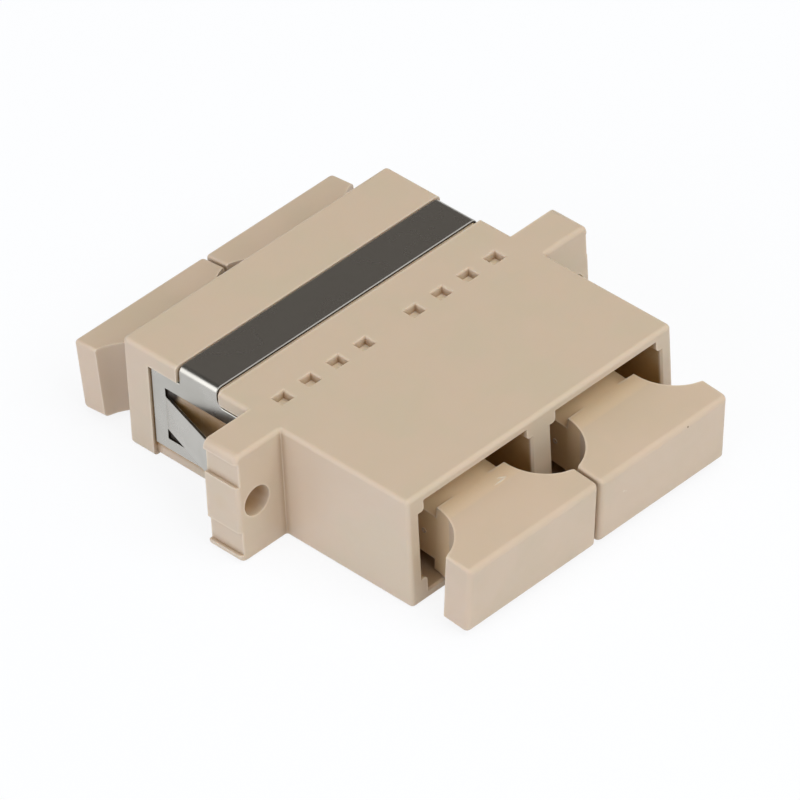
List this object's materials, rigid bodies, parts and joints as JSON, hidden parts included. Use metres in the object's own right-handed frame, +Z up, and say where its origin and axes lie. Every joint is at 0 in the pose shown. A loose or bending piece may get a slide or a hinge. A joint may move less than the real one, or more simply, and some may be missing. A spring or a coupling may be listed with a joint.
{
  "type": "duplex sc fibre adapter",
  "caption": "Flanged duplex SC fibre adapter in beige plastic, with side by side ports at both ends, pull-out dust caps, screw ears and a folded steel panel clip with spring barbs.",
  "frame": {"origin": "midway between the two screw holes, on the face of the ears that meets the panel", "axes": "+X across the ports to the right, +Y from the front ports to the rear ports through the panel, +Z up"},
  "size_m": [0.0342, 0.038, 0.0092],
  "materials": {
    "housing_plastic": "fine moulded satin",
    "cap_plastic": "fine moulded satin",
    "holder_plastic": "moulded satin",
    "spring_steel": "bright rolled",
    "sleeve_bronze": "polished"
  },
  "bodies": {
    "adapter": {"front_housing": "housing_plastic", "rear_housing": "housing_plastic", "mounting_clip": "spring_steel", "left_sleeve": "sleeve_bronze", "right_sleeve": "sleeve_bronze", "front_left_holder": "holder_plastic", "front_right_holder": "holder_plastic", "rear_left_holder": "holder_plastic", "rear_right_holder": "holder_plastic"},
    "front_left_dust_cap": {"front_left_cap": "cap_plastic"},
    "front_right_dust_cap": {"front_right_cap": "cap_plastic"},
    "rear_left_dust_cap": {"rear_left_cap": "cap_plastic"},
    "rear_right_dust_cap": {"rear_right_cap": "cap_plastic"}
  },
  "joints": [
    {"name": "front_left_pull", "type": "slide", "parent": "adapter", "child": "front_left_dust_cap", "axis": [0, -1, 0], "range_m": [0, 0.013]},
    {"name": "front_right_pull", "type": "slide", "parent": "adapter", "child": "front_right_dust_cap", "axis": [0, -1, 0], "range_m": [0, 0.013]},
    {"name": "rear_left_pull", "type": "slide", "parent": "adapter", "child": "rear_left_dust_cap", "axis": [0, 1, 0], "range_m": [0, 0.013]},
    {"name": "rear_right_pull", "type": "slide", "parent": "adapter", "child": "rear_right_dust_cap", "axis": [0, 1, 0], "range_m": [0, 0.013]}
  ]
}
